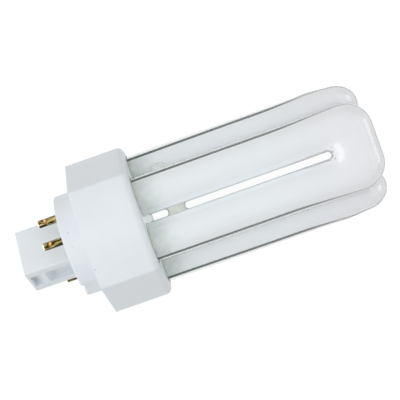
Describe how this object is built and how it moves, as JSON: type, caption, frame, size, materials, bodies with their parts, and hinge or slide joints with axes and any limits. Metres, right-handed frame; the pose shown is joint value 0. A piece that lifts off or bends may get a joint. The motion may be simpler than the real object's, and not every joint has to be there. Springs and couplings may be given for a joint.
{
  "type": "plug-in fluorescent lamp",
  "caption": "Plug-in compact fluorescent lamp: U-bent coated glass tubes in a three-sided housing, with a collar, a rectangular post and contact pins.",
  "frame": {"origin": "on the lamp's axis, at the collar's front face that the pins stand on", "axes": "+X along the axis from the cap to the tube ends, +Z out through the flat side of one U tube and away from the narrow flat that the lamp lies on"},
  "size_m": [0.1122, 0.0466, 0.0434],
  "materials": {
    "coated_glass": "clear glass over a white phosphor coat",
    "white_plastic": "satin",
    "cement": "matte",
    "brass": "polished",
    "wire": "drawn"
  },
  "bodies": {
    "root": {"discharge_tube": "coated_glass", "housing": "white_plastic", "tube_cement": "cement", "cap": "white_plastic", "contact_pin_1": "brass", "lead_wire_1": "wire", "contact_pin_2": "brass", "lead_wire_2": "wire", "contact_pin_3": "brass", "lead_wire_3": "wire", "contact_pin_4": "brass", "lead_wire_4": "wire"}
  },
  "joints": []
}
